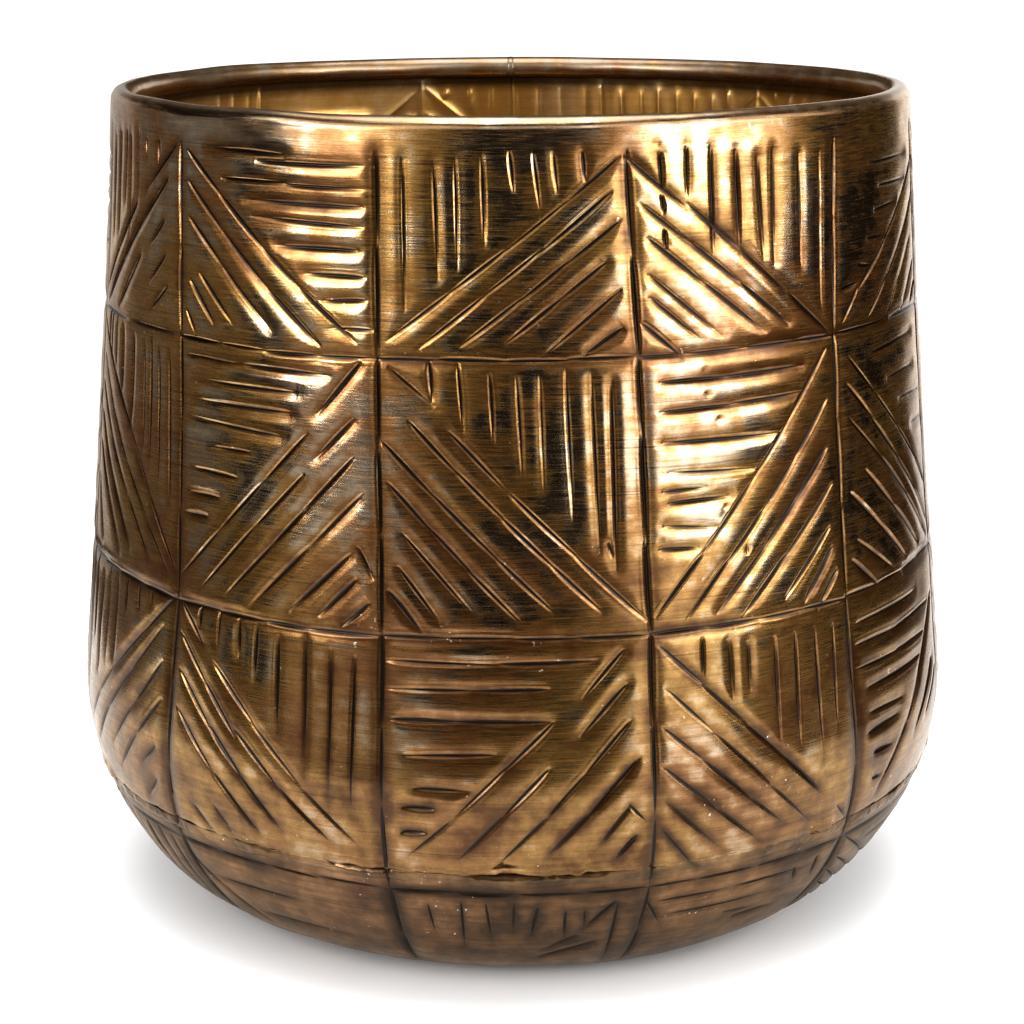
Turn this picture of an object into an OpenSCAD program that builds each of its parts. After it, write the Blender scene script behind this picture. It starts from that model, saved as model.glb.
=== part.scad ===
// Round sheet-brass planter pot: a rolled wall with a wired rim, and a bowl-shaped base brazed into its lower edge.
// All sizes are in millimetres. +Z is up and the origin is the centre of the resting face.

/* [Body] */
// Outer diameter at the widest point of the belly
body_d = 300; // [280:2:320]
// Height from the resting face to the crest of the rolled rim
body_h = 275; // [255:1:295]
// Section radius of the belly
belly_arc = 87; // [80:1:94]
// Section radius where the bowl turns under the pot
turn_arc = 49; // [45:1:53]
// Angle below the widest point at which the bowl turns under
turn_angle = 41.5; // [38:0.5:45]
// Lean of the wall where it leaves the belly, in degrees
wall_lean = 6; // [4:0.5:8]
// Section radius of the slight sweep of the wall between belly and rim
wall_sweep = 5700; // [4000:100:9000]

/* [Sheet] */
// Thickness of the brass sheet
sheet_t = 1; // [0.8:0.1:1.2]

/* [Rim] */
// Diameter of the steel wire that the sheet is rolled over
wire_d = 5.6; // [4:0.2:6.4]
// How far the sheet is rolled round the wire, in degrees
curl_angle = 300; // [240:5:300]

/* [Seams] */
// Height of the lower edge of the wall
seam_h = 50; // [46:1:54]
// Length of the base's flange inside the wall
lap_len = 10; // [7:0.5:12]
// Width of the gap in the lap, filled with braze
lap_gap = 0.3; // [0.2:0.05:0.5]
// Length of the joggle where the base steps in behind the wall
joggle_len = 2.5; // [2:0.5:4]
// Width of the brazed butt seam up the back of the wall
side_seam_w = 1.2; // [0.8:0.1:2]

/* [Hidden] */
$fn = 96;

// Clearance between the wire and the sheet rolled over it
wire_gap = 0.05;
// Share of the lap that the braze has crept into, and the bare stretch below the wall's edge before the joggle
braze_share = 0.8;
joggle_start_len = 0.8;

// Section of the bowl: the belly arc and the turn arc share a tangent at turn_angle
belly_centre = [body_d / 2 - belly_arc, turn_arc + (belly_arc - turn_arc) * sin(turn_angle)];
turn_centre = belly_centre + (belly_arc - turn_arc) * [cos(turn_angle), -sin(turn_angle)];

// Section of the wall: a shallow arc, hollow outwards, tangent to the belly at wall_lean and to the rim at rim_lean
sweep_centre = belly_centre + (belly_arc + wall_sweep) * [cos(wall_lean), sin(wall_lean)];
curl_r = wire_d / 2 + wire_gap + sheet_t;
rim_lean = asin((sweep_centre[1] - body_h + curl_r) / (wall_sweep + curl_r));
wire_centre = sweep_centre - (wall_sweep + curl_r) * [cos(rim_lean), sin(rim_lean)];

// Angles on the belly arc, measured from the horizontal through its centre
function belly_turn(length) = length / belly_arc * 180 / PI;
seam_a = -asin((belly_centre[1] - seam_h) / belly_arc);
braze_top_a = seam_a + belly_turn(lap_len * braze_share);
flange_top_a = seam_a + belly_turn(lap_len);
joggle_start_a = seam_a - belly_turn(joggle_start_len);
joggle_end_a = joggle_start_a - belly_turn(joggle_len);

// Radii of the parallel surfaces on the belly arc
wall_inner_r = belly_arc - sheet_t;
flange_outer_r = wall_inner_r - lap_gap;
flange_inner_r = flange_outer_r - sheet_t;

// Points along an arc about a centre, from angle a0 to a1 in the given number of steps
function arc(centre, r, a0, a1, steps) =
    [for (i = [0:steps]) let (a = a0 + (a1 - a0) * i / steps) centre + r * [cos(a), sin(a)]];

// One side of the wall's section, offset inwards from the outer surface, from the lower edge up to the curl
function wall_side(offset) = concat(
    arc(belly_centre, belly_arc - offset, seam_a, braze_top_a, 3),
    arc(belly_centre, belly_arc - offset, braze_top_a, wall_lean, 8),
    arc(sweep_centre, wall_sweep + offset, 180 + wall_lean, 180 + rim_lean, 8));

// One side of the base's section, offset inwards, from the end of the joggle to the middle of the base
function bowl_side(offset) = concat(
    arc(belly_centre, belly_arc - offset, joggle_end_a, -turn_angle, 8),
    arc(turn_centre, turn_arc - offset, -turn_angle, -90, 12),
    [[0, offset]]);

// One side of the base's flange, from its free end down to the joggle
function flange_side(r) = concat(
    arc(belly_centre, r, flange_top_a, braze_top_a, 1),
    arc(belly_centre, r, braze_top_a, seam_a, 3),
    arc(belly_centre, r, seam_a, joggle_start_a, 1));

function reverse(points) = [for (i = [len(points) - 1:-1:0]) points[i]];

// Wall and rolled rim as one ring of sheet, before the side seam is cut
module wall_ring() {
    rotate_extrude()
        polygon(concat(
            wall_side(0),
            arc(wire_centre, curl_r, rim_lean, rim_lean + curl_angle, 30),
            arc(wire_centre, curl_r - sheet_t, rim_lean + curl_angle, rim_lean, 30),
            reverse(wall_side(sheet_t))));
}

// Slot through the back of the wall where the two ends of the rolled sheet meet
module side_seam_slot() {
    translate([-side_seam_w / 2, 0, -1])
        cube([side_seam_w, body_d, body_h + 2]);
}

module wall_sheet() {
    color([0.62, 0.45, 0.22])
        difference() {
            wall_ring();
            side_seam_slot();
        }
}

module rim_wire() {
    color([0.45, 0.45, 0.47])
        rotate_extrude()
            translate(wire_centre)
                circle(r = wire_d / 2);
}

module base_pan() {
    color([0.52, 0.40, 0.24])
        rotate_extrude()
            polygon(concat(
                flange_side(flange_outer_r),
                bowl_side(0),
                reverse(bowl_side(sheet_t)),
                reverse(flange_side(flange_inner_r))));
}

// Braze drawn into the lap, with a fillet from the wall's lower edge to the joggle of the base
module base_seam_braze() {
    color([0.72, 0.58, 0.32])
        rotate_extrude()
            polygon(concat(
                arc(belly_centre, wall_inner_r, braze_top_a, seam_a, 3),
                arc(belly_centre, belly_arc, seam_a, joggle_end_a, 1),
                arc(belly_centre, flange_outer_r, joggle_start_a, seam_a, 1),
                arc(belly_centre, flange_outer_r, seam_a, braze_top_a, 3)));
}

// Strip of braze that closes the butt seam from the lower edge to the end of the curl
module side_seam_braze() {
    color([0.72, 0.58, 0.32])
        intersection() {
            wall_ring();
            side_seam_slot();
        }
}

wall_sheet();
rim_wire();
base_pan();
base_seam_braze();
side_seam_braze();
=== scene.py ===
"""Chased brass planter pot: a rolled wall with a wired rim, and a bowl-shaped base brazed into it.

Everything is in metres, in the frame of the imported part. A place on the skin is given by its bearing, the
angle round from the front of the pot, and by its distance down the outside from the rim.
"""

from math import asin, cos, pi, radians, sin

import bpy
import numpy as np
from mathutils import Matrix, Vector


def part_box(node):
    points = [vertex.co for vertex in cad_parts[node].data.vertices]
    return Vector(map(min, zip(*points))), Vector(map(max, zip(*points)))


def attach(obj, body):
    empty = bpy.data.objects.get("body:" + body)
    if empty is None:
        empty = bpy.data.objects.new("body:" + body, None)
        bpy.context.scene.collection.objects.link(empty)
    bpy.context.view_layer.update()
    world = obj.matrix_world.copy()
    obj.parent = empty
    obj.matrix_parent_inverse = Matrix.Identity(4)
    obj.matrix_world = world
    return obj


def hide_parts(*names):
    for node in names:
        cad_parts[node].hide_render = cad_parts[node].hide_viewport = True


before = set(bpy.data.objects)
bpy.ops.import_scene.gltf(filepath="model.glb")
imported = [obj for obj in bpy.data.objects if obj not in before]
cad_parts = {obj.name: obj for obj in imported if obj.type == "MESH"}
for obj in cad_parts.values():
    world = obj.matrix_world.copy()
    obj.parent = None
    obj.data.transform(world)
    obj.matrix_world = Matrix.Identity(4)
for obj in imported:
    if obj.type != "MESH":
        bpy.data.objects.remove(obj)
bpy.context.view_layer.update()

MM = 0.001

# ------------------------------------------------------------ section of the pot

wall_low, wall_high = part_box("wall_sheet")
wire_low, wire_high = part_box("rim_wire")
BODY_R = wall_high.x
BODY_H = wall_high.z
SEAM_Z = wall_low.z
WIRE_R = (wire_high.z - wire_low.z) / 2
WIRE_GAP = 0.05 * MM
SHEET = 1.0 * MM
LAP_GAP = 0.3 * MM
BELLY_ARC = 87 * MM
TURN_ARC = 49 * MM
WALL_SWEEP = 5700 * MM
TURN_ANGLE = radians(41.5)
WALL_LEAN = radians(6)
CURL_ANGLE = radians(300)
CURL_R = WIRE_R + WIRE_GAP + SHEET

belly_centre = np.array([BODY_R - BELLY_ARC, TURN_ARC + (BELLY_ARC - TURN_ARC) * sin(TURN_ANGLE)])
turn_centre = belly_centre + (BELLY_ARC - TURN_ARC) * np.array([cos(TURN_ANGLE), -sin(TURN_ANGLE)])
sweep_centre = belly_centre + (BELLY_ARC + WALL_SWEEP) * np.array([cos(WALL_LEAN), sin(WALL_LEAN)])
RIM_LEAN = asin((sweep_centre[1] - BODY_H + CURL_R) / (WALL_SWEEP + CURL_R))
wire_centre = sweep_centre - (WALL_SWEEP + CURL_R) * np.array([cos(RIM_LEAN), sin(RIM_LEAN)])
SWEEP_LEN = WALL_SWEEP * (WALL_LEAN - RIM_LEAN)
BELLY_END = SWEEP_LEN + BELLY_ARC * (WALL_LEAN + TURN_ANGLE)
TURN_END = BELLY_END + TURN_ARC * (pi / 2 - TURN_ANGLE)
EDGE_DOWN = SWEEP_LEN + BELLY_ARC * (WALL_LEAN + asin((belly_centre[1] - SEAM_Z) / BELLY_ARC))


def section(down, inset=0.0):
    """Radius, height and lean of the surface that lies inset behind the outer skin, at distances down it."""
    down = np.asarray(down, float)
    where = [down < SWEEP_LEN, down < BELLY_END, down < TURN_END]
    lean = np.select(where, [
        RIM_LEAN + down / WALL_SWEEP,
        WALL_LEAN - (down - SWEEP_LEN) / BELLY_ARC,
        -TURN_ANGLE - (down - BELLY_END) / TURN_ARC,
    ], -pi / 2)
    radius = np.select(where, [
        sweep_centre[0] - (WALL_SWEEP + inset) * np.cos(lean),
        belly_centre[0] + (BELLY_ARC - inset) * np.cos(lean),
        turn_centre[0] + (TURN_ARC - inset) * np.cos(lean),
    ], turn_centre[0] - (down - TURN_END))
    height = np.select(where, [
        sweep_centre[1] - (WALL_SWEEP + inset) * np.sin(lean),
        belly_centre[1] + (BELLY_ARC - inset) * np.sin(lean),
        turn_centre[1] + (TURN_ARC - inset) * np.sin(lean),
    ], inset)
    return radius, height, lean


def skin_points(bearing, down, rise, inset=0.0):
    """Points on the skin, moved out along its normal by rise. The arguments broadcast together."""
    radius, height, lean = section(down, inset)
    radius = radius + rise * np.cos(lean)
    height = height + rise * np.sin(lean)
    parts = np.broadcast_arrays(radius * np.sin(bearing), -radius * np.cos(bearing), height)
    return np.stack(parts, -1)

# ------------------------------------------------------------ chased pattern

# Meridian lines: the bearing in degrees at the top line and at each of the three rings. The six that show in
# front are uneven, as they were struck by hand; the rest follow every 30 degrees.
MERIDIANS = {
    -75: (-75.2, -75.2, -75.2, -75.2),
    -45: (-48.3, -47.0, -45.6, -47.6),
    -15: (-16.8, -16.4, -15.3, -15.1),
    15: (14.1, 15.5, 16.4, 16.6),
    45: (46.4, 45.4, 45.8, 47.0),
    75: (74.8, 74.8, 74.8, 74.8),
}
# Distances down of the top line, the three rings and the end of the pattern under the base
ROW_DOWNS = (7.7 * MM, 65.9 * MM, 148.0 * MM, 230.2 * MM, 275.0 * MM)

# Fill of the panels that show in front, by meridian on the left and row from the top. "up" or "across" gives
# the strokes of the upper half as (place, start, end), and "slant" gives those along the diagonal as
# (x, y, x, y). All are shares of the panel, from its upper left corner.
PANELS = {
    (-75, 0): dict(
        up=[(0.15, 0.03, 0.60), (0.27, 0.0, 0.55), (0.38, -0.02, 0.40), (0.45, 0.0, 0.56),
            (0.56, -0.03, 0.35), (0.66, 0.0, 0.12), (0.79, 0.0, 0.15)],
        slant=[(0.97, 0.0, 0.66, 0.28), (0.55, 0.36, 0.03, 0.90), (0.88, 0.20, 0.12, 0.94),
               (0.62, 0.62, 0.33, 0.96), (0.86, 0.41, 0.70, 0.57), (0.88, 0.58, 0.69, 0.78),
               (0.89, 0.75, 0.73, 0.90)],
    ),
    (-45, 0): dict(
        across=[(0.02, 0.60, 0.17), (0.06, 0.45, 0.95), (0.155, 0.28, 0.95), (0.26, 0.95, 0.40),
                (0.355, 0.95, 0.42), (0.475, 0.93, 0.55), (0.605, 0.95, 0.68), (0.72, 0.96, 0.76),
                (0.87, 0.98, 0.80)],
        slant=[(0.05, 0.03, 0.90, 0.92), (0.05, 0.19, 0.74, 0.95), (0.06, 0.38, 0.52, 0.90),
               (0.12, 0.65, 0.33, 0.90), (0.06, 0.70, 0.22, 0.92), (0.03, 0.85, 0.10, 0.98)],
    ),
    (-15, 0): dict(
        up=[(0.11, 0.0, 0.77), (0.235, 0.02, 0.61), (0.325, 0.0, 0.57), (0.425, -0.02, 0.45),
            (0.535, -0.03, 0.18), (0.635, -0.03, 0.27), (0.715, -0.03, 0.19), (0.83, -0.03, 0.13)],
        slant=[(0.97, 0.02, 0.05, 0.90), (0.92, 0.19, 0.16, 0.94), (0.95, 0.33, 0.33, 0.92),
               (0.89, 0.53, 0.51, 0.90), (0.95, 0.66, 0.63, 0.98), (0.95, 0.85, 0.78, 0.98)],
    ),
    (15, 0): dict(
        up=[(0.135, -0.02, 0.18), (0.14, 0.20, 0.30), (0.145, 0.37, 0.47), (0.255, -0.03, 0.22),
            (0.36, -0.03, 0.52), (0.47, 0.0, 0.50), (0.57, 0.03, 0.57), (0.65, 0.0, 0.60),
            (0.785, 0.03, 0.62), (0.905, 0.03, 0.86)],
        slant=[(0.0, 0.0, 0.25, 0.28), (0.26, 0.26, 0.97, 0.99), (0.06, 0.25, 0.71, 0.89),
               (0.08, 0.43, 0.58, 0.92), (0.06, 0.59, 0.38, 0.93), (0.06, 0.70, 0.28, 0.94),
               (0.02, 0.83, 0.19, 1.02)],
    ),
    (45, 0): dict(
        across=[(0.14, 0.30, 0.80), (0.27, 0.40, 0.80), (0.40, 0.35, 0.62), (0.54, 0.28, 0.48),
                (0.67, 0.20, 0.32), (0.77, 0.06, 0.20)],
        slant=[(0.97, 0.18, 0.20, 0.78), (0.20, 0.78, 0.05, 0.97), (1.0, 0.35, 0.25, 0.97),
               (0.85, 0.62, 0.48, 0.97), (0.95, 0.75, 0.70, 0.95), (0.97, 0.88, 0.85, 0.97)],
    ),
    (-75, 1): dict(
        up=[(0.17, 0.0, 0.12), (0.23, 0.0, 0.17), (0.31, 0.0, 0.21), (0.41, 0.02, 0.28),
            (0.56, 0.04, 0.42), (0.68, 0.05, 0.50), (0.75, 0.0, 0.55), (0.82, 0.05, 0.62),
            (0.90, 0.05, 0.68)],
        slant=[(0.05, 0.05, 0.57, 0.42), (0.57, 0.43, 0.98, 0.90), (0.10, 0.20, 0.92, 0.90),
               (0.08, 0.30, 0.77, 0.88), (0.08, 0.43, 0.58, 0.88), (0.08, 0.55, 0.47, 0.92),
               (0.05, 0.68, 0.20, 0.93)],
    ),
    (-45, 1): dict(
        across=[(0.065, 0.05, 0.78), (0.145, 0.65, 0.08), (0.225, 0.62, 0.08), (0.31, 0.58, 0.03),
                (0.385, 0.42, 0.20), (0.49, 0.35, 0.08), (0.575, 0.25, 0.05), (0.66, 0.18, 0.03)],
        slant=[(0.93, 0.02, 0.73, 0.22), (0.68, 0.30, 0.02, 0.90), (0.90, 0.22, 0.72, 0.38),
               (0.66, 0.45, 0.14, 0.93), (0.88, 0.37, 0.29, 0.93), (0.92, 0.50, 0.42, 0.95),
               (0.88, 0.71, 0.60, 0.95), (0.90, 0.80, 0.73, 0.95), (0.95, 0.88, 0.83, 0.98),
               (0.90, 0.68, 0.97, 0.80)],
    ),
    (-15, 1): dict(
        up=[(0.205, 0.0, 0.15), (0.31, 0.0, 0.26), (0.43, 0.04, 0.30), (0.53, 0.05, 0.43),
            (0.62, 0.05, 0.48), (0.72, 0.03, 0.58), (0.81, 0.05, 0.68), (0.89, 0.07, 0.76),
            (0.85, 0.65, 0.71)],
        slant=[(0.04, 0.03, 0.22, 0.17), (0.26, 0.25, 0.48, 0.46), (0.50, 0.475, 0.98, 0.94),
               (0.13, 0.23, 0.81, 0.90), (0.02, 0.30, 0.63, 0.89), (0.04, 0.45, 0.51, 0.93),
               (0.08, 0.62, 0.34, 0.90), (0.06, 0.74, 0.22, 0.94), (0.02, 0.83, 0.15, 0.98)],
    ),
    (15, 1): dict(
        across=[(0.095, 0.10, 0.78), (0.20, 0.10, 0.77), (0.31, 0.08, 0.65), (0.42, 0.10, 0.52),
                (0.49, 0.07, 0.28), (0.53, 0.10, 0.38), (0.61, 0.07, 0.32), (0.695, 0.05, 0.23)],
        slant=[(0.93, 0.05, 0.03, 0.93), (0.92, 0.24, 0.16, 0.95), (0.90, 0.42, 0.30, 0.94),
               (0.93, 0.56, 0.42, 0.97), (0.92, 0.71, 0.63, 0.95), (0.93, 0.79, 0.73, 0.98),
               (0.95, 0.88, 0.82, 1.0)],
    ),
    (45, 1): dict(
        across=[(0.105, 0.28, 0.80), (0.225, 0.43, 0.80), (0.32, 0.55, 0.90), (0.45, 0.72, 0.95)],
        slant=[(0.10, 0.10, 0.97, 0.75), (0.08, 0.20, 0.97, 0.90), (0.10, 0.33, 0.90, 0.93),
               (0.20, 0.55, 0.73, 0.93), (0.08, 0.62, 0.55, 0.95), (0.10, 0.80, 0.40, 0.97),
               (0.05, 0.87, 0.25, 1.0)],
    ),
    (-75, 2): dict(
        up=[(0.04, 0.05, 0.40), (0.14, 0.0, 0.35), (0.27, 0.03, 0.45), (0.375, 0.0, 0.38),
            (0.475, 0.0, 0.36), (0.585, 0.0, 0.15), (0.70, 0.0, 0.12), (0.80, 0.0, 0.08)],
        slant=[(0.97, 0.0, 0.50, 0.38), (0.50, 0.38, 0.15, 0.68), (0.90, 0.13, 0.25, 0.75),
               (0.92, 0.27, 0.50, 0.70), (0.93, 0.42, 0.57, 0.78), (0.92, 0.60, 0.80, 0.70),
               (0.90, 0.75, 0.80, 0.85)],
    ),
    (-45, 2): dict(
        up=[(0.15, -0.01, 0.09), (0.255, -0.01, 0.14), (0.36, 0.01, 0.16), (0.455, 0.02, 0.24),
            (0.56, 0.04, 0.42), (0.68, 0.02, 0.57), (0.79, 0.06, 0.65), (0.89, 0.08, 0.71)],
        slant=[(0.02, 0.0, 0.18, 0.15), (0.25, 0.21, 0.92, 0.83), (0.05, 0.13, 0.37, 0.46),
               (0.37, 0.44, 0.79, 0.82), (0.06, 0.27, 0.58, 0.80), (0.06, 0.42, 0.48, 0.84),
               (0.24, 0.76, 0.34, 0.88), (0.13, 0.80, 0.22, 0.90)],
    ),
    (-15, 2): dict(
        across=[(0.085, 0.03, 0.78), (0.18, 0.60, 0.03), (0.30, 0.05, 0.62), (0.42, 0.42, 0.08),
                (0.555, 0.12, 0.33), (0.625, 0.20, 0.07), (0.73, 0.06, 0.17)],
        slant=[(0.90, 0.04, 0.73, 0.22), (0.62, 0.31, 0.08, 0.84), (0.90, 0.17, 0.72, 0.36),
               (0.60, 0.48, 0.27, 0.84), (0.90, 0.32, 0.42, 0.86), (0.93, 0.46, 0.60, 0.82),
               (0.92, 0.62, 0.78, 0.80), (0.94, 0.75, 0.85, 0.86), (0.90, 0.62, 0.97, 0.70)],
    ),
    (15, 2): dict(
        up=[(0.215, 0.03, 0.18), (0.34, 0.05, 0.28), (0.43, 0.07, 0.26), (0.56, 0.07, 0.48),
            (0.67, 0.07, 0.52), (0.78, 0.07, 0.60), (0.89, 0.08, 0.50)],
        slant=[(0.04, 0.05, 0.79, 0.73), (0.06, 0.21, 0.73, 0.84), (0.05, 0.36, 0.59, 0.82),
               (0.04, 0.50, 0.48, 0.87), (0.04, 0.62, 0.32, 0.89), (0.02, 0.73, 0.20, 0.94),
               (0.89, 0.81, 0.98, 0.90)],
    ),
    (45, 2): dict(
        across=[(0.12, 0.05, 0.65), (0.20, 0.05, 0.85), (0.29, 0.05, 0.75), (0.38, 0.10, 0.70),
                (0.48, 0.10, 0.40), (0.56, 0.08, 0.35), (0.65, 0.12, 0.30), (0.765, 0.13, 0.22)],
        slant=[(0.93, 0.20, 0.45, 0.60), (0.45, 0.60, 0.20, 0.84), (0.88, 0.45, 0.55, 0.68),
               (0.95, 0.50, 0.72, 0.66)],
    ),
    (-45, 3): dict(
        across=[(0.30, 0.15, 0.60), (0.62, 0.30, 0.75)],
        slant=[(0.0, 0.15, 0.28, 0.75)],
    ),
    (-15, 3): dict(
        up=[(0.14, 0.10, 0.45), (0.275, 0.05, 0.60), (0.375, 0.05, 0.50), (0.48, 0.05, 0.40),
            (0.57, 0.10, 0.45), (0.68, 0.15, 0.50), (0.76, 0.15, 0.38), (0.885, 0.08, 0.90)],
        slant=[(0.88, 0.10, 0.77, 0.36), (0.75, 0.45, 0.62, 0.62), (0.83, 0.55, 0.58, 0.76)],
    ),
    (15, 3): dict(
        across=[(0.15, 0.05, 0.77), (0.31, 0.10, 0.70), (0.44, 0.40, 0.58), (0.53, 0.48, 0.70)],
        slant=[(0.0, 0.10, 0.10, 0.42), (0.73, 0.12, 0.76, 0.27), (0.86, 0.08, 0.88, 0.30)],
    ),
}

# Places of the round punch marks in the panels right of the middle, as shares of the panel
PUNCH_MARKS = {
    (15, 0): [(0.13, -0.05), (0.15, -0.01), (0.26, -0.05), (0.25, 0.0)],
    (15, 1): [(0.29, 0.065), (0.30, 0.15), (0.35, 0.24), (0.53, 0.105), (0.28, 0.0), (0.17, 0.645),
              (0.45, 0.735), (0.36, 0.56), (0.06, 0.665)],
}
PUNCH_DEPTH = 0.6 * MM
PUNCH_R = 1.5 * MM

# Chased lines: depth and half width of the V, depth and reach of the hollow round it, length of a blow
CHASED = {
    "meridian": (0.60 * MM, 0.92 * MM, 0.55 * MM, 3.2 * MM, 24 * MM),
    "ring": (0.52 * MM, 0.78 * MM, 0.50 * MM, 2.6 * MM, 24 * MM),
    "up": (0.48 * MM, 0.78 * MM, 0.34 * MM, 1.9 * MM, 40 * MM),
    "across": (0.48 * MM, 0.82 * MM, 0.45 * MM, 2.1 * MM, 30 * MM),
    "slant": (0.50 * MM, 0.80 * MM, 0.42 * MM, 2.1 * MM, 22 * MM),
}

# Stretches of the base seam that the braze never filled, as bearing of the middle and half width, in degrees
SEAM_GAPS = [(-18.5, 3.4), (3.0, 7.0), (41.5, 1.6), (-68.0, 3.0), (78.0, 4.0), (118.0, 3.5), (152.0, 2.5),
             (-104.0, 5.0), (-139.0, 2.2), (-166.0, 4.5)]
LAST_LEFT = 165


def meridian_at(nominal, row):
    """Bearing of a meridian where it crosses the line at the top of a row."""
    if nominal in MERIDIANS:
        return radians(MERIDIANS[nominal][min(row, 3)])
    drift = np.random.default_rng(2000 + nominal).normal(0, 0.5, 4)
    return radians(nominal + drift[min(row, 3)])


def panel_place(left, row, x, y):
    """Bearing and distance down of a place in a panel, given as shares of it from its upper left corner."""
    right = left + 30 if left < LAST_LEFT else -LAST_LEFT
    corners = [meridian_at(side, row + low) for low in (0, 1) for side in (left, right)]
    if left == LAST_LEFT:
        corners[1] += 2 * pi
        corners[3] += 2 * pi
    top = corners[0] + (corners[1] - corners[0]) * x
    bottom = corners[2] + (corners[3] - corners[2]) * x
    return top + (bottom - top) * y, ROW_DOWNS[row] + (ROW_DOWNS[row + 1] - ROW_DOWNS[row]) * y


def ruled_panel(left, row, rng):
    """Fill of a panel by the pattern's rule: the diagonals join the stars, and the fills alternate."""
    column = round((left + LAST_LEFT) / 30)
    rising = (column + row) % 2 == 1
    marks = {"slant": []}
    count = rng.integers(7, 9)
    places = (np.arange(count) + 0.5) / count * 0.9 + 0.03
    upper = []
    for place in places + rng.normal(0, 0.008, count):
        reach = (1 - place if rising else place) - 0.05
        if reach > 0.06:
            upper.append((place, rng.uniform(0.0, 0.04), reach * rng.uniform(0.82, 0.98)))
    if rng.random() < 0.55:
        marks["up"] = upper
    elif rising:
        level = [(1 - place - 0.1, rng.uniform(0.04, 0.1)) for place, _, _ in upper]
        marks["across"] = [(place, start, (1 - place) * 0.86) for place, start in level if 0.05 < place < 0.8]
    else:
        marks["across"] = [(place * 0.85, 0.95, place + 0.08) for place, _, _ in upper if place < 0.82]
    for step in range(rng.integers(5, 7)):
        shift = step * 0.155 + (0.0 if step == 0 else 0.03)
        a = np.array([0.04, 0.02 + shift])
        b = np.array([0.98 - shift, 0.97])
        a += rng.normal(0, 0.012, 2)
        b += rng.normal(0, 0.012, 2)
        if rising:
            a[0], b[0] = 1 - a[0], 1 - b[0]
        marks["slant"].append((a[0], a[1], b[0], b[1]))
    return marks


class Relief:
    """Height of the skin over an even grid of bearings and distances down, cut by lines and dents."""

    def __init__(self, bearings, downs):
        self.bearings = bearings
        self.downs = downs
        self.cut = np.zeros((len(downs), len(bearings)))
        self.dents = np.zeros_like(self.cut)

    def window(self, bearing, down, margin):
        """The rows and columns within the margin of a span of bearings and a span of distances down."""
        radius = float(section(np.mean(down))[0])
        reach = margin / radius
        columns = np.searchsorted(self.bearings, [min(bearing) - reach, max(bearing) + reach])
        rows = np.searchsorted(self.downs, [min(down) - margin, max(down) + margin])
        return slice(*rows), slice(*columns), radius

    def along(self, a, b, margin):
        """The grid near the line from a to b: its window, the distance along the line, the offset from it,
        and the line's length."""
        rows, columns, radius = self.window((a[0], b[0]), (a[1], b[1]), margin)
        across = (self.bearings[columns] - a[0]) * radius
        down = (self.downs[rows] - a[1])[:, None]
        run = np.array([(b[0] - a[0]) * radius, b[1] - a[1]])
        length = float(np.hypot(*run))
        run /= length
        return (rows, columns), across * run[0] + down * run[1], down * run[0] - across * run[1], length

    def strike(self, a, b, depth, width, skew, tilt):
        """One blow of the chisel: a spindle-shaped V with a raised burr along each side. Tilt, from -1 to 1,
        leans the chisel, so one side of the V is steep with little burr and the other is wide with more."""
        window, along, off, length = self.along(a, b, 3 * width)
        share = np.clip(along / length, 0, 1)
        full = np.sin(pi * share ** skew) ** 0.6
        side = np.sign(off) * tilt
        local = width * (0.6 + 0.4 * full) * (1 + 0.35 * side)
        valley = -depth * full * np.maximum(1 - np.abs(off) / local, 0)
        burr = 0.13 * depth * full * (1 + side) * np.exp(-((np.abs(off) - 1.45 * local) / (0.5 * local)) ** 2)
        shape = valley + burr
        cut = self.cut[window]
        raised = np.where(cut >= 0, np.maximum(cut, shape), cut)
        self.cut[window] = np.where(shape < 0, np.minimum(cut, shape), raised)

    def hollow(self, a, b, depth, width, skew=1.0):
        """The wide dent that a row of blows leaves in the sheet round them."""
        window, along, off, length = self.along(a, b, 3 * width)
        share = np.clip(along / length, 0, 1)
        beyond = along - share * length
        full = 0.45 + 0.55 * np.sin(pi * share ** skew) ** 0.5
        shape = depth * full * np.exp(-(off ** 2 + beyond ** 2) / width ** 2)
        self.dents[window] += shape ** 3

    def line(self, a, b, rng, depth, width, hollow, spread, blow, skew=0.75):
        """A chased line: a run of overlapping blows, none quite in line with the last."""
        a, b = np.array(a), np.array(b)
        radius = float(section((a[1] + b[1]) / 2)[0])
        length = float(np.hypot((b[0] - a[0]) * radius, b[1] - a[1]))
        count = max(1, round(length / blow))
        stops = np.linspace(0, 1, count + 1)
        stops[1:-1] += rng.normal(0, 0.08 / count, count - 1)
        off_line = np.array([1 / radius, 1]) * 0.16 * MM
        lap = 1.6 * MM / length if count > 1 else 0
        tilt = rng.uniform(-1, 1)
        for start, end in zip(stops[:-1], stops[1:]):
            p = a + (b - a) * (start - lap) + rng.normal(0, 1, 2) * off_line
            q = a + (b - a) * (end + lap) + rng.normal(0, 1, 2) * off_line
            self.strike(p, q, depth * rng.uniform(0.8, 1.3), width * rng.uniform(0.85, 1.15), skew, tilt)
        self.hollow(a, b, hollow * rng.uniform(0.6, 1.6), spread, skew)


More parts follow.
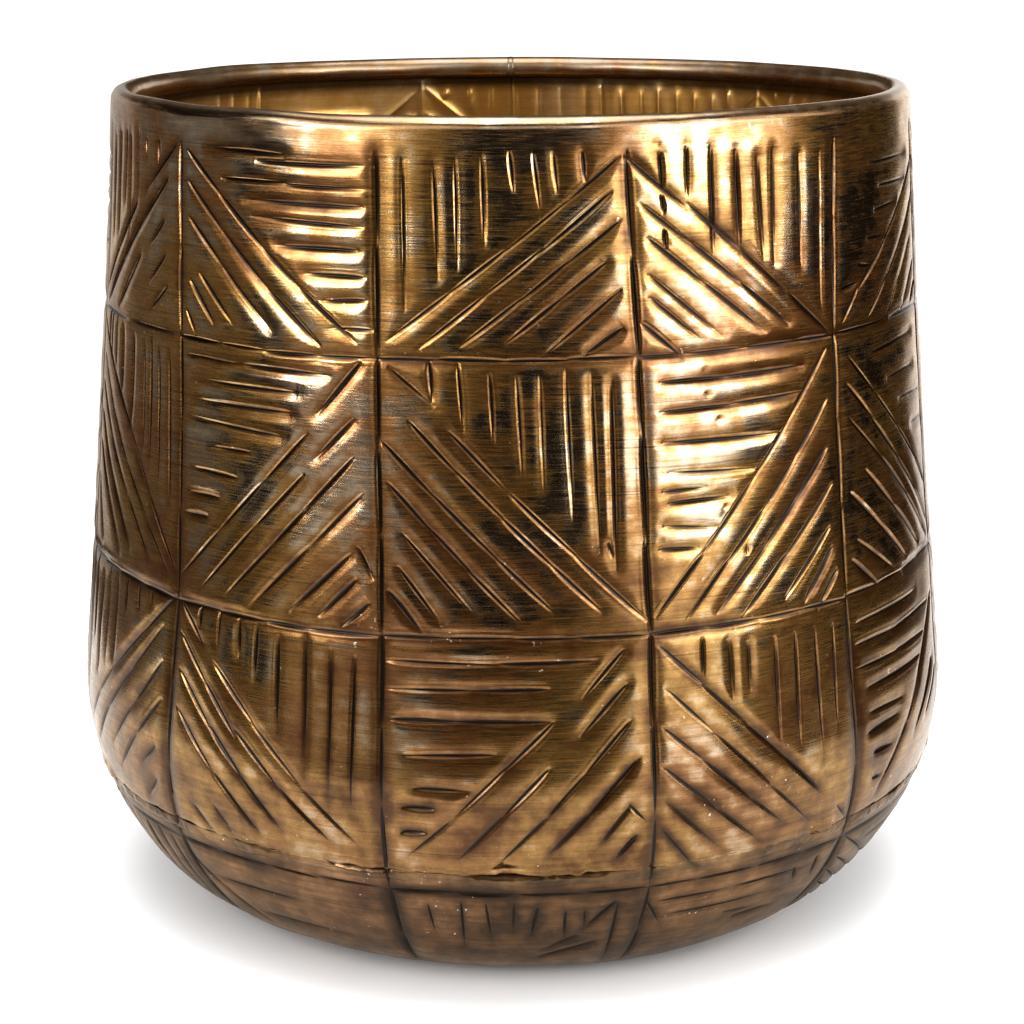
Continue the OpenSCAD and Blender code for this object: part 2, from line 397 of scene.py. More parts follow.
def chase(relief):
    """Strikes the whole pattern into the relief. It runs on over the back, a little past each end."""
    rng = np.random.default_rng(5)
    lefts = range(-LAST_LEFT, 180, 30)
    lines = []

    def add(kind, a, b, weight=1.0):
        depth, width, hollow, spread, blow = CHASED[kind]
        lines.append((a, b, depth * weight, width, hollow * weight, spread, blow))

    for nominal in lefts:
        for row in range(4):
            a = (meridian_at(nominal, row), ROW_DOWNS[row])
            b = (meridian_at(nominal, row + 1), ROW_DOWNS[row + 1])
            add("meridian", a, b)
    for row in range(1, 4):
        for nominal in lefts:
            a = panel_place(nominal, row, 0, 0)
            b = panel_place(nominal, row, 1, 0)
            middle = ((a[0] + b[0]) / 2, a[1] + rng.normal(0, 0.5 * MM))
            add("ring", a, middle)
            add("ring", middle, b)
    for row in range(4):
        for nominal in lefts:
            marks = PANELS.get((nominal, row)) or ruled_panel(nominal, row, rng)
            weight = 1.0 if row < 3 else 0.9
            for place, start, end in marks.get("up", []):
                a = panel_place(nominal, row, place, start)
                b = panel_place(nominal, row, place + rng.normal(0, 0.008), end)
                add("up", a, b, weight)
            for place, start, end in marks.get("across", []):
                a = panel_place(nominal, row, start, place)
                b = panel_place(nominal, row, end, place + rng.normal(0, 0.008))
                add("across", a, b, weight)
            for x0, y0, x1, y1 in marks["slant"]:
                a = panel_place(nominal, row, x0, y0)
                b = panel_place(nominal, row, x1, y1)
                add("slant", a, b, weight)
    for a, b, *sizes in lines:
        for turn in (-2 * pi, 0, 2 * pi):
            p, q = (a[0] + turn, a[1]), (b[0] + turn, b[1])
            if max(p[0], q[0]) > -pi - 0.1 and min(p[0], q[0]) < pi + 0.1:
                hand = np.random.default_rng(int(abs(a[0] + 9) * 1e5) + int(a[1] * 1e6))
                relief.line(p, q, hand, *sizes)
    for (left, row), marks in PUNCH_MARKS.items():
        for x, y in marks:
            place = panel_place(left, row, x, y)
            relief.hollow(place, (place[0] + 1e-4, place[1]), PUNCH_DEPTH, PUNCH_R)


def chased(bearings, downs):
    """Height of the chased skin over an even grid, with the depths of its cuts and of its hollows."""
    relief = Relief(bearings, downs)
    chase(relief)
    dents = np.cbrt(relief.dents)
    return relief.cut - dents, np.maximum(-relief.cut, 0), dents


def lattice_noise(bearings, downs, cell, seed):
    """Smooth noise about zero over the skin, with features of about a cell. It closes on itself all round."""
    rng = np.random.default_rng(seed)
    around = max(3, round(2 * pi * BODY_R / cell))
    values = rng.normal(0, 1, (int(0.36 / cell) + 4, around))
    u = (np.asarray(bearings) / (2 * pi)) % 1 * around
    v = np.asarray(downs) / cell + 1
    i, j = np.floor(v).astype(int), np.floor(u).astype(int)
    fv, fu = v - i, u - j
    sv, su = fv * fv * (3 - 2 * fv), fu * fu * (3 - 2 * fu)
    low = values[i][:, j % around] * (1 - su) + values[i][:, (j + 1) % around] * su
    high = values[i + 1][:, j % around] * (1 - su) + values[i + 1][:, (j + 1) % around] * su
    return low * (1 - sv)[:, None] + high * sv[:, None]


def edge_noise(bearings, cell, seed):
    """Smooth noise about zero along a ring."""
    return lattice_noise(bearings, [0.01], cell, seed)[0]


def smooth_step(x):
    x = np.clip(x, 0, 1)
    return x * x * (3 - 2 * x)

# ------------------------------------------------------------ meshes

class Loft:
    """Rings of points, joined into one mesh. Neighbours have as many spans, or one has half as many."""

    def __init__(self):
        self.rings = []
        self.values = {"down": [], "cut": [], "dent": [], "inside": []}

    def add(self, points, down, cut=0.0, dent=0.0, inside=0.0):
        self.rings.append(points)
        for name, value in (("down", down), ("cut", cut), ("dent", dent), ("inside", inside)):
            self.values[name].append(np.broadcast_to(value, len(points)).astype(float))

    def build(self, name, round_ring, round_section, capped=False):
        """round_ring: each ring closes on itself. round_section: the last ring joins the first. capped: the
        ends of the loft are closed with one face each, across the first and last ring, or along both ends of
        every ring."""
        rings = self.rings + self.rings[:1] * round_section
        counts = [len(ring) for ring in self.rings]
        starts = np.cumsum([0] + counts)
        total = starts[-1]
        starts = list(starts[:-1]) + [0] * round_section
        pairs = zip(rings, rings[1:])
        steps = [0] + [float(np.linalg.norm(b[len(b) // 3] - a[len(a) // 3])) for a, b in pairs]
        place = np.cumsum(steps) / sum(steps)
        faces = []

        def corner(k, j):
            count = len(rings[k])
            spans = count if round_ring else count - 1
            return starts[k] + j % count, j / spans, np.full(len(j), place[k])

        for k in range(len(rings) - 1):
            low, high = (len(rings[n]) - (not round_ring) for n in (k, k + 1))
            j = np.arange(min(low, high))
            if low == high:
                loop = [(k, j), (k, j + 1), (k + 1, j + 1), (k + 1, j)]
            elif low == 2 * high:
                loop = [(k, 2 * j), (k, 2 * j + 1), (k, 2 * j + 2), (k + 1, j + 1), (k + 1, j)]
            else:
                loop = [(k, j), (k, j + 1), (k + 1, 2 * j + 2), (k + 1, 2 * j + 1), (k + 1, 2 * j)]
            corners = [corner(*pair) for pair in loop]
            faces.append([np.stack([c[part] for c in corners], 1) for part in range(3)])
        if capped and round_ring:
            for k, order in ((0, -1), (len(rings) - 1, 1)):
                j = np.arange(len(rings[k]))[::order]
                faces.append([part[None, :] for part in corner(k, j)])
        if capped and not round_ring:
            ends = np.array(starts[:len(self.rings)])
            faces.append([ends[None, :], np.zeros((1, len(ends))), place[None, :len(ends)]])
            ends = (ends + np.array(counts) - 1)[::-1]
            faces.append([ends[None, :], np.ones((1, len(ends))), place[None, :len(ends)][:, ::-1]])
        sizes = np.concatenate([np.full(len(index), index.shape[1]) for index, _, _ in faces])
        index, across, along = (np.concatenate([face[part].ravel() for face in faces]) for part in range(3))

        mesh = bpy.data.meshes.new(name)
        mesh.vertices.add(total)
        mesh.vertices.foreach_set("co", np.concatenate(self.rings).ravel())
        mesh.loops.add(len(index))
        mesh.loops.foreach_set("vertex_index", index)
        mesh.polygons.add(len(sizes))
        mesh.polygons.foreach_set("loop_start", np.cumsum(sizes) - sizes)
        mesh.polygons.foreach_set("use_smooth", np.ones(len(sizes), bool))
        uv = mesh.uv_layers.new(name="OFBake")
        uv.uv.foreach_set("vector", np.stack([across, along], 1).ravel())
        for layer, values in self.values.items():
            mesh.attributes.new(layer, "FLOAT", "POINT").data.foreach_set("value", np.concatenate(values))
        mesh.update()
        mesh.validate()
        piece = bpy.data.objects.new(name, mesh)
        bpy.context.scene.collection.objects.link(piece)
        return piece


GRAIN = 0.4 * MM
COLUMNS = 2 * round(pi * BODY_R / GRAIN)
SLOT_HALF = 0.6 * MM / BODY_R
BRAZE_LEN = 3.3 * MM


def seam_gap(bearings):
    """1 where the base seam is open, 0 where braze fills it."""
    bearings = np.degrees(bearings)
    reach = []
    for middle, half in SEAM_GAPS:
        away = np.abs((bearings - middle + 180) % 360 - 180)
        reach.append(np.clip(1.4 - away / half, 0, 1))
    return smooth_step(np.max(reach, axis=0) * 1.5)


def sway(bearings, downs):
    """The slow unevenness of hand-worked sheet."""
    return (0.22 * MM * lattice_noise(bearings, downs, 55 * MM, 21)
            + 0.13 * MM * lattice_noise(bearings, downs, 22 * MM, 22)
            + 0.030 * MM * lattice_noise(bearings, downs, 8 * MM, 23))


def rim_calm(downs):
    """Share of the sway that is left near the rim, where the wire holds the sheet."""
    return 0.35 + 0.65 * smooth_step(downs / (12 * MM))


def make_wall():
    """The rolled sheet with its rim curled over the wire, open at the back where the side seam is brazed."""
    bearings = np.linspace(-pi + SLOT_HALF, pi - SLOT_HALF, COLUMNS + 1)
    coarse = bearings[::2]
    downs = np.linspace(0, EDGE_DOWN, round(EDGE_DOWN / GRAIN) + 1)
    height, cuts, dents = chased(bearings, downs)
    height = height + sway(bearings, downs) * rim_calm(downs)[:, None]

    gap = seam_gap(bearings)
    ragged = 0.5 * MM * edge_noise(bearings, 9 * MM, 31) + 0.3 * MM * edge_noise(bearings, 2.5 * MM, 32)
    ragged -= 1.3 * MM * gap * (1 + 0.5 * edge_noise(bearings, 4 * MM, 33))
    near_edge = smooth_step((downs - EDGE_DOWN + 6 * MM) / (6 * MM))[:, None]
    at_edge = smooth_step((downs - EDGE_DOWN + 2.5 * MM) / (2.5 * MM))[:, None]
    height = height + near_edge * (0.8 * MM * gap) - at_edge * 0.25 * MM * (1 - gap)
    down_grid = downs[:, None] + near_edge * ragged

    rim_wave = 0.25 * MM * edge_noise(bearings, 110 * MM, 41)
    rim_wave += 0.22 * MM * edge_noise(bearings, 30 * MM, 42)
    bead_swell = 0.20 * MM * edge_noise(bearings, 26 * MM, 43)
    bead_swell += 0.10 * MM * edge_noise(bearings, 9 * MM, 44)
    lift = rim_wave * (1 - smooth_step(downs / (30 * MM)))[:, None]

    loft = Loft()
    outer = skin_points(bearings[None, :], down_grid, height)
    outer[..., 2] += lift
    for k in range(len(downs) - 1, -1, -1):
        loft.add(outer[k], downs[k], cuts[k], dents[k])

    def curl(radius, angles, at, wave, swell):
        for angle, share in zip(angles, swell):
            r = wire_centre[0] + radius * cos(angle) + share
            z = wire_centre[1] + radius * sin(angle)
            points = np.stack([r * np.sin(at), -r * np.cos(at), z + wave], -1)
            loft.add(points, -CURL_R * abs(angle - RIM_LEAN))

    shown = np.arange(RIM_LEAN + GRAIN / CURL_R, RIM_LEAN + radians(200), GRAIN / CURL_R)
    turned = (shown - RIM_LEAN) / (shown[-1] - RIM_LEAN)
    fade = [height[0] * smooth_step(1 - 4 * share) + bead_swell * sin(pi * share) for share in turned]
    curl(CURL_R, shown, bearings, rim_wave, fade)
    hidden = np.linspace(shown[-1], RIM_LEAN + CURL_ANGLE, 10)[1:]
    curl(CURL_R, hidden, coarse, rim_wave[::2], np.zeros(len(hidden)))
    inside = np.linspace(RIM_LEAN + CURL_ANGLE, RIM_LEAN, 18)
    curl(CURL_R - SHEET, inside, coarse, rim_wave[::2], np.zeros(len(inside)))

    inner = skin_points(coarse[None, :], down_grid[:, ::2], height[:, ::2] * 1.1, SHEET)
    inner[..., 2] += lift[:, ::2]
    for k in list(range(2, len(downs) - 1, 2)) + [len(downs) - 1]:
        loft.add(inner[k], downs[k], 0.0, -0.8 * dents[k, ::2], 1.0)
    return loft.build("wall", False, True, capped=True)


PAN_COLUMNS = 2304
FLANGE_LEN = 10 * MM
FLANGE_INSET = SHEET + LAP_GAP
JOGGLE_START = 0.8 * MM
BASE_END = TURN_END
PAN_INSIDE = 0.85


def make_pan():
    """The bowl-shaped base, with the flange that laps inside the wall."""
    def bearings(count):
        return -pi + 2 * pi * np.arange(count) / count

    def level_ring(count, radius, z):
        at = bearings(count)
        return np.stack([radius * np.sin(at), -radius * np.cos(at), np.full(count, z)], -1)

    fine = bearings(PAN_COLUMNS)
    coarse = bearings(PAN_COLUMNS // 2)
    step = 2 * pi * BODY_R / PAN_COLUMNS
    rows = round((BASE_END - EDGE_DOWN) / step) + 1
    downs = np.linspace(EDGE_DOWN + BRAZE_LEN - 0.6 * MM, BASE_END, rows)
    height, cuts, dents = chased(fine, downs)
    settle = smooth_step((BASE_END - downs) / (25 * MM))[:, None]
    height = (height + sway(fine, downs)) * settle
    height -= 0.25 * MM * smooth_step((EDGE_DOWN + BRAZE_LEN + 1.2 * MM - downs) / (1.8 * MM))[:, None]

    # Level rings that close the flat of the base, each with half as many points as the last
    radius = float(section(BASE_END)[0])
    count = PAN_COLUMNS
    level = []
    while count > 12 and count % 2 == 0:
        count //= 2
        radius *= 0.62 if count < PAN_COLUMNS // 4 else 0.93
        level.append((count, radius))

    flange_top = EDGE_DOWN - FLANGE_LEN
    flange_bottom = EDGE_DOWN + JOGGLE_START
    flange_inner = FLANGE_INSET + SHEET
    loft = Loft()
    for count, at in reversed(level):
        loft.add(level_ring(count, at, 0.0), BASE_END + radius - at)
    for k in reversed(range(len(downs))):
        loft.add(skin_points(fine, downs[k], height[k]), downs[k], cuts[k], dents[k])
    for down in np.linspace(flange_top, flange_bottom, 6)[::-1]:
        loft.add(skin_points(coarse, np.array(down), 0.0, FLANGE_INSET), down)
    for share in np.linspace(0.03, 0.3, 3)[::-1]:
        edge = np.array(flange_top - share * 0.3 * MM)
        loft.add(skin_points(coarse, edge, 0.0, flange_inner - share * SHEET), flange_top)
    for down in np.linspace(flange_top, flange_bottom, 5):
        loft.add(skin_points(coarse, np.array(down), 0.0, flange_inner), down, inside=PAN_INSIDE)
    for k in range(4, len(downs), 2):
        points = skin_points(coarse, downs[k], height[k, ::2] * 0.8, SHEET)
        loft.add(points, downs[k], 0.0, -0.6 * dents[k, ::2], PAN_INSIDE)
    for count, at in level[1:]:
        loft.add(level_ring(count, at, SHEET), BASE_END + radius - at, inside=PAN_INSIDE)
    return loft.build("base", True, False, capped=True)


def make_seam_braze():
    """The ragged run of braze between the lower edge of the wall and the base."""
    count = PAN_COLUMNS
    bearings = -pi + 2 * pi * np.arange(count) / count
    top, bottom = EDGE_DOWN - 0.5 * MM, EDGE_DOWN + BRAZE_LEN + 0.5 * MM
    shares = np.linspace(0, 1, 15)
    downs = top + (bottom - top) * shares
    relief, cuts, dents = chased(bearings, downs)
    gap = seam_gap(bearings)
    body = 0.20 + 0.22 * edge_noise(bearings, 14 * MM, 51) + 0.12 * edge_noise(bearings, 4 * MM, 52)
    grain = 0.10 * lattice_noise(bearings, downs, 1.6 * MM, 53)
    grain += 0.12 * lattice_noise(bearings, downs, 3.5 * MM, 54)
    arch = np.sin(pi * np.clip(shares, 0.02, 0.98))[:, None] ** 0.6
    height = MM * (body * arch - 0.3 * (1 - arch) + grain * arch)
    open_joint = gap * smooth_step(1 - shares / 0.45)[:, None]
    height -= 1.3 * MM * open_joint
    height += relief + sway(bearings, downs)
    stray = 0.35 * MM * edge_noise(bearings, 6 * MM, 55) * shares[:, None]
    loft = Loft()
    for k in reversed(range(len(downs))):
        # Where the joint is open its floor is marked as a cut, so it takes the blackened colour: dark oxide
        # in the joint and painted shade in the gap
        dark = np.maximum(cuts[k], 0.3 * MM * open_joint[k])
        loft.add(skin_points(bearings, downs[k] + stray[k], height[k]), downs[k], dark, dents[k])
    behind = SHEET + 0.25 * MM
    for down, inset in ((top, behind), ((top + bottom) / 2, behind), (bottom, 0.8 * MM)):
        loft.add(skin_points(bearings, np.array(down), 0.0, inset), down)
    return loft.build("base_seam", True, True)


def make_side_braze():
    """The strip of braze that fills the butt joint up the back of the wall and over the rim."""
    rng = np.random.default_rng(61)
    at_seam = np.array([pi])
    path = [(down, None) for down in np.arange(EDGE_DOWN - 0.2 * MM, 0, -1.0 * MM)]
    path += [(None, angle) for angle in np.arange(RIM_LEAN, RIM_LEAN + CURL_ANGLE, 0.22)]
    shares = np.linspace(0, 2 * pi, 13)[:-1]
    bulk = np.convolve(rng.normal(0, 1, len(path) + 4), np.ones(5) / 5, "valid")
    sidle = np.convolve(rng.normal(0, 1, len(path) + 8), np.ones(9) / 9, "valid")
    loft = Loft()
    for (down, angle), swell, shift in zip(path, bulk, sidle):
        width = (1.25 + 0.35 * swell) * MM
        proud = (0.22 + 0.18 * swell) * MM
        across = np.sign(np.sin(shares)) * np.abs(np.sin(shares)) ** 0.5 * width + shift * 0.25 * MM
        deep = (np.sign(np.cos(shares)) * np.abs(np.cos(shares)) ** 0.5 - 1) * (SHEET / 2 + 0.15 * MM) + proud
        if down is not None:
            radius, height, lean = (float(v) for v in section(down))
            deep = deep + float(sway(at_seam, [down])[0, 0]) * rim_calm(down)
        else:
            radius = wire_centre[0] + CURL_R * cos(angle)
            height = wire_centre[1] + CURL_R * sin(angle)
            lean = angle
        r = radius + deep * cos(lean)
        back = -CURL_R * (lean - RIM_LEAN) if down is None else down
        loft.add(np.stack([-across, r, height + deep * sin(lean)], -1), back, 0.0, 0.0, deep < -SHEET / 2)
    return loft.build("side_seam", True, False, capped=True)

# ------------------------------------------------------------ materials

class Recipe:
    """A material and short ways to add nodes to it."""

    def __init__(self, name):
        self.material = bpy.data.materials.new(name)
        self.material.use_nodes = True
        self.tree = self.material.node_tree
        self.shader = self.tree.nodes["Principled BSDF"]

    def node(self, kind, links=None, **settings):
        node = self.tree.nodes.new("ShaderNode" + kind)
        for name, value in settings.items():
            setattr(node, name, value)
        for name, value in (links or {}).items():
            self.feed(node.inputs[name], value)
        return node

    def feed(self, socket, value):
        if isinstance(value, bpy.types.NodeSocket):
            self.tree.links.new(value, socket)
        else:
            socket.default_value = value

    def math(self, operation, *values, clamp=False):
        node = self.node("Math", operation=operation, use_clamp=clamp)
        for socket, value in zip(node.inputs, values):
            self.feed(socket, value)
        return node.outputs[0]

    def ramp(self, value, low, high, to_low=0.0, to_high=1.0):
        links = {"Value": value, "From Min": low, "From Max": high, "To Min": to_low, "To Max": to_high}
        return self.node("MapRange", links).outputs[0]

    def mix(self, share, a, b):
        node = self.node("Mix", data_type="RGBA")
        for socket, value in ((node.inputs[0], share), (node.inputs[6], a), (node.inputs[7], b)):
            self.feed(socket, (*value, 1) if isinstance(value, tuple) else value)
        return node.outputs[2]

    def noise(self, vector, scale, detail=3.0, roughness=0.55):
        links = {"Vector": vector, "Scale": scale, "Detail": detail, "Roughness": roughness}
        return self.node("TexNoise", links).outputs[0]

    def attribute(self, name):
        return self.node("Attribute", attribute_name=name).outputs["Fac"]


def aged_brass(name, fresh, worn, golden, dark, age=0.5, lower=1.0, dull=0.0, lacquer=0.5, chased=True):
    """Brushed brass with brown patina. age shifts the balance from bright metal to patina, and lower is the
    share of its reflection that is left low on the pot. chased: the piece has the loft's attributes."""
    recipe = Recipe(name)
    place = recipe.node("TexCoord").outputs["Object"]
    x, y, z = recipe.node("SeparateXYZ", {"Vector": place}).outputs
    around = recipe.math("ARCTAN2", x, recipe.math("MULTIPLY", y, -1.0))
    down = recipe.attribute("down") if chased else recipe.math("MULTIPLY", z, -1.0)

    # Brushing runs round the pot, in strokes about 12 mm long and a quarter of a millimetre wide
    sheared = recipe.math("ADD", down, recipe.math("MULTIPLY", recipe.noise(place, 9.0, 2.0), 0.004))

    def strokes(per_radian, per_metre, detail):
        across = recipe.math("MULTIPLY", around, per_radian)
        along = recipe.math("MULTIPLY", sheared, per_metre)
        at = recipe.node("CombineXYZ", {"X": across, "Y": along}).outputs[0]
        return recipe.noise(at, 1.0, detail, 0.62)

    brush = strokes(14.0, 2300.0, 4.0)
    streak = strokes(5.0, 420.0, 3.0)
    cloud = recipe.noise(place, 24.0, 5.0, 0.6)
    blotch = recipe.noise(place, 95.0, 5.0, 0.65)
    speck = recipe.noise(place, 700.0, 2.0, 0.5)
    patch = recipe.noise(place, 60.0, 2.0)
    scored = recipe.ramp(strokes(1.6, 1300.0, 2.0), 0.60, 0.70)

    # Tarnish, from 0 to 1: more of it in the hollows and less inside. The same value is also raised towards
    # the sides and back of the pot and towards the bottom, which makes the metal browner there
    tarnish = age
    for part in (recipe.ramp(cloud, 0.35, 0.68, -0.26, 0.28), recipe.ramp(blotch, 0.35, 0.68, -0.17, 0.22),
                 recipe.ramp(streak, 0.3, 0.7, -0.14, 0.14), recipe.ramp(brush, 0.3, 0.7, -0.14, 0.14),
                 recipe.ramp(recipe.math("ABSOLUTE", around), 0.75, 1.2, 0.0, 0.22),
                 recipe.ramp(down, 0.13, 0.20, 0.0, 0.26)):
        tarnish = recipe.math("ADD", part, tarnish)
    if chased:
        dent = recipe.attribute("dent")
        inside = recipe.attribute("inside")
        cut_and_gap_shade_mask = recipe.ramp(recipe.attribute("cut"), 0.14 * MM, 0.28 * MM)
        tarnish = recipe.math("ADD", recipe.ramp(dent, 0.0, 0.6 * MM, -0.08, 0.34), tarnish)
        tarnish = recipe.math("ADD", recipe.math("MULTIPLY", inside, -0.25), tarnish)
    tarnish = recipe.math("ADD", tarnish, 0.0, clamp=True)

    # Colour of the metal, then how much of it the brushing and the hollows leave, and painted shade under the
    # curled rim
    worn = recipe.mix(recipe.ramp(recipe.noise(place, 17.0, 3.0), 0.42, 0.6), worn, golden)
    colour = recipe.mix(recipe.ramp(tarnish, 0.0, 0.5), fresh, worn)
    colour = recipe.mix(recipe.ramp(tarnish, 0.45, 1.0), colour, dark)
    value = recipe.ramp(down, 0.08, 0.20, 1.0, lower)
    value = recipe.math("MULTIPLY", recipe.ramp(brush, 0.3, 0.7, 0.66, 1.34), value)
    value = recipe.math("MULTIPLY", value, recipe.ramp(scored, 0.0, 1.0, 1.0, 0.6))
    if chased:
        value = recipe.math("MULTIPLY", value, recipe.ramp(dent, 0.1 * MM, 0.6 * MM, 1.0, 0.68))
        # Painted shade under the curled rim: the inner wall just below the bead and the underside of the curl
        # are darkened
        painted_bead_shade = recipe.math("MULTIPLY", inside, recipe.ramp(down, 6.5 * MM, 10.5 * MM, 0.85, 0.0))
        painted_bead_shade = recipe.math("MAXIMUM", painted_bead_shade, recipe.ramp(down, -16.5 * MM, -12.5 * MM, 0.85, 0.0))
        value = recipe.math("MULTIPLY", value, recipe.math("SUBTRACT", 1.0, painted_bead_shade))
    colour = recipe.node("HueSaturation", {"Color": colour, "Value": value}).outputs[0]
    nicks = recipe.math("MULTIPLY", recipe.ramp(speck, 0.69, 0.73), recipe.ramp(patch, 0.56, 0.64))
    colour = recipe.mix(recipe.math("MULTIPLY", nicks, 0.6), colour, PALE)

    roughness = recipe.ramp(tarnish, 0.0, 1.0, 0.16 + dull, 0.32 + dull)
    roughness = recipe.math("ADD", roughness, recipe.ramp(brush, 0.3, 0.7, -0.03, 0.05))
    metallic = recipe.ramp(tarnish, 0.3, 1.0, 1.0, 0.76)
    if chased:
        golden_inside = recipe.math("MULTIPLY", recipe.math("SUBTRACT", inside, painted_bead_shade), 0.6)
        colour = recipe.mix(golden_inside, colour, INSIDE)
        # Blackened colour in the chased cuts; on the seam braze it also covers the open joint, where it is
        # partly painted shade
        colour = recipe.mix(cut_and_gap_shade_mask, colour, BLACKENED_AND_GAP_SHADE)
        rubbed = recipe.ramp(down, -4 * MM, 1 * MM, 0.75, 0.0)
        rubbed = recipe.math("SUBTRACT", rubbed, painted_bead_shade, clamp=True)
        rubbed_share = recipe.math("MULTIPLY", rubbed, recipe.ramp(blotch, 0.4, 0.6, 0.3, 1.0))
        colour = recipe.mix(rubbed_share, colour, RUBBED)
        for mask, least in ((cut_and_gap_shade_mask, 0.6), (inside, 0.33), (rubbed, 0.5)):
            roughness = recipe.math("MAXIMUM", roughness, recipe.math("MULTIPLY", mask, least))
        metallic = recipe.math("SUBTRACT", metallic, recipe.math("MULTIPLY", inside, 0.14))

    height = recipe.math("ADD", recipe.math("MULTIPLY", brush, 0.020), recipe.math("MULTIPLY", streak, 0.014))
    height = recipe.math("ADD", height, recipe.math("MULTIPLY", speck, 0.002))
    bump = recipe.node("Bump", {"Height": height, "Strength": 1.0, "Distance": 1.0 * MM})
    recipe.feed(recipe.shader.inputs["Normal"], bump.outputs[0])
    recipe.feed(recipe.shader.inputs["Base Color"], colour)
    recipe.feed(recipe.shader.inputs["Roughness"], roughness)
    recipe.feed(recipe.shader.inputs["Metallic"], metallic)
    recipe.shader.inputs["Specular Tint"].default_value = (0.86, 0.77, 0.66, 1)
    recipe.shader.inputs["Coat Weight"].default_value = lacquer
    recipe.shader.inputs["Coat Roughness"].default_value = 0.2
    return recipe.material


PALE = (0.80, 0.74, 0.64)
RUBBED = (0.38, 0.31, 0.24)
INSIDE = (0.68, 0.43, 0.13)
BLACKENED_AND_GAP_SHADE = (0.014, 0.007, 0.003)

METALS = {
    "wall_brass": dict(fresh=(0.74, 0.61, 0.46), worn=(0.35, 0.185, 0.075), golden=(0.42, 0.25, 0.085),
                       dark=(0.130, 0.055, 0.015), age=0.48, lower=0.62),
    "base_brass": dict(fresh=(0.32, 0.195, 0.11), worn=(0.155, 0.088, 0.047), golden=(0.17, 0.096, 0.045),
                       dark=(0.050, 0.027, 0.013), age=0.45, dull=0.12, lacquer=0.3),
    "braze": dict(fresh=(0.34, 0.22, 0.12), worn=(0.16, 0.095, 0.05), golden=(0.19, 0.115, 0.05),
                  dark=(0.05, 0.028, 0.014), age=0.5, dull=0.08, lacquer=0.4),
    "drawn_steel": dict(fresh=(0.50, 0.49, 0.47), worn=(0.33, 0.32, 0.30), golden=(0.30, 0.27, 0.23),
                        dark=(0.14, 0.12, 0.11), age=0.4, dull=0.05, lacquer=0.0, chased=False),
}
metals = {name: aged_brass(name, **look) for name, look in METALS.items()}


def finish_piece(piece, node, slot):
    piece.data.materials.append(metals[slot])
    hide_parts(node)
    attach(piece, "root")


finish_piece(make_wall(), "wall_sheet", "wall_brass")
finish_piece(make_pan(), "base_pan", "base_brass")
finish_piece(make_seam_braze(), "base_seam_braze", "braze")
finish_piece(make_side_braze(), "side_seam_braze", "braze")
for wire_slot in bpy.data.objects["rim_wire"].material_slots:
    wire_slot.material = metals["drawn_steel"]

# ------------------------------------------------------------ stage

def add_object(name, data):
    thing = bpy.data.objects.new(name, data)
    bpy.context.scene.collection.objects.link(thing)
    return thing


FLOOR_R = 0.45
ring = FLOOR_R * np.exp(2j * pi * np.arange(96) / 96)
mesh = bpy.data.meshes.new("floor")
mesh.from_pydata([(p.real, p.imag, 0) for p in ring], [], [list(range(len(ring)))])
floor = add_object("floor", mesh)
paper = Recipe("floor_paper")
mottle = paper.noise(paper.node("TexCoord").outputs["Object"], 30.0, 3.0)
paper.feed(paper.shader.inputs["Base Color"], paper.mix(mottle, (0.86, 0.86, 0.86), (0.90, 0.90, 0.90)))
paper.shader.inputs["Roughness"].default_value = 0.7
paper.shader.inputs["Specular IOR Level"].default_value = 0.2
floor.data.materials.append(paper.material)

camera = add_object("camera", bpy.data.cameras.new("camera"))
camera.data.lens = 82.8
camera.matrix_world = (Matrix.Translation((0, -0.8033, 0.3332)) @ Matrix.Rotation(radians(90 - 14.51), 4, "X")
                       @ Matrix.Rotation(radians(-0.19), 4, "Z"))
bpy.context.scene.camera = camera


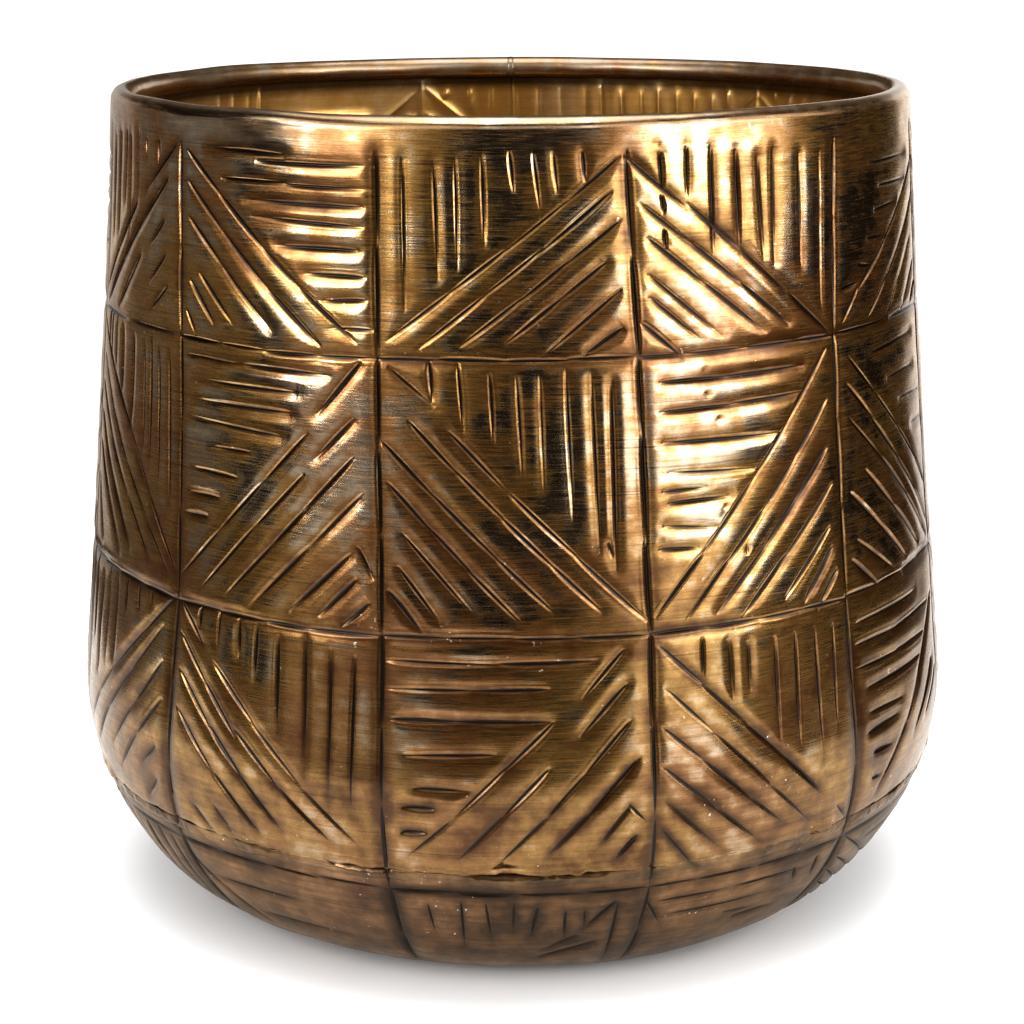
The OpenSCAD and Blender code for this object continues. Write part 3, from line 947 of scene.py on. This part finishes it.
# Soft boxes: bearings of the two sides in degrees, lowest and highest height, and radiance
SOFTBOXES = {
    "left_box": (-60, -35, 0.38, 0.85, 8.4),
    "left_edge_box": (-35, -24, 0.36, 0.85, 1.4),
    "left_high_box": (-76, -18, 0.8, 1.8, 1.5),
    "left_low_box": (-60, -20, -0.5, 0.0, 0.5),
    "left_far_box": (-128, -78, -0.4, 0.5, 0.16),
    "right_box": (34, 75, 0.26, 0.8, 5.2),
    "right_high_box": (20, 100, 0.8, 1.8, 1.5),
    "right_low_box": (28, 56, -0.5, 0.28, 1.7),
    "back_right_box": (138, 172, -0.4, 0.8, 1.2),
    "back_left_box": (-170, -130, -0.3, 0.7, 0.6),
    "front_box": (-18, 18, 0.9, 1.9, 0.6),
}
BOX_DISTANCE = 1.8


def softbox(name, start, end, low, high, radiance):
    """A flat light that stands at a distance, between two bearings and from height low to height high."""
    light = bpy.data.lights.new(name, "AREA")
    light.shape = "RECTANGLE"
    middle = radians((start + end) / 2)
    light.size = 2 * BOX_DISTANCE * np.tan(radians(end - start) / 2)
    light.size_y = high - low
    light.energy = radiance * pi * light.size * light.size_y
    lamp = add_object(name, light)
    lamp.location = (BOX_DISTANCE * sin(middle), -BOX_DISTANCE * cos(middle), (low + high) / 2)
    lamp.rotation_euler = (pi / 2, 0, middle)


for box_name, box in SOFTBOXES.items():
    softbox(box_name, *box)
top = bpy.data.lights.new("top_box", "AREA")
top.size = 1.6
top.energy = 3.0 * pi * top.size ** 2
add_object("top_box", top).location = (0, -0.1, 1.9)

world = bpy.data.worlds.new("studio")
bpy.context.scene.world = world
world.use_nodes = True
tree = world.node_tree
lit = tree.nodes["Background"]
lit.inputs["Color"].default_value = (1, 1, 1, 1)
lit.inputs["Strength"].default_value = 0.82
dim = tree.nodes.new("ShaderNodeBackground")
dim.inputs["Color"].default_value = (0.022, 0.017, 0.012, 1)
path = tree.nodes.new("ShaderNodeLightPath")
mixer = tree.nodes.new("ShaderNodeMixShader")
tree.links.new(path.outputs["Is Glossy Ray"], mixer.inputs[0])
tree.links.new(lit.outputs[0], mixer.inputs[1])
tree.links.new(dim.outputs[0], mixer.inputs[2])
tree.links.new(mixer.outputs[0], tree.nodes["World Output"].inputs["Surface"])
bpy.context.scene.view_settings.view_transform = "Standard"
bpy.context.scene.view_settings.look = "High Contrast"
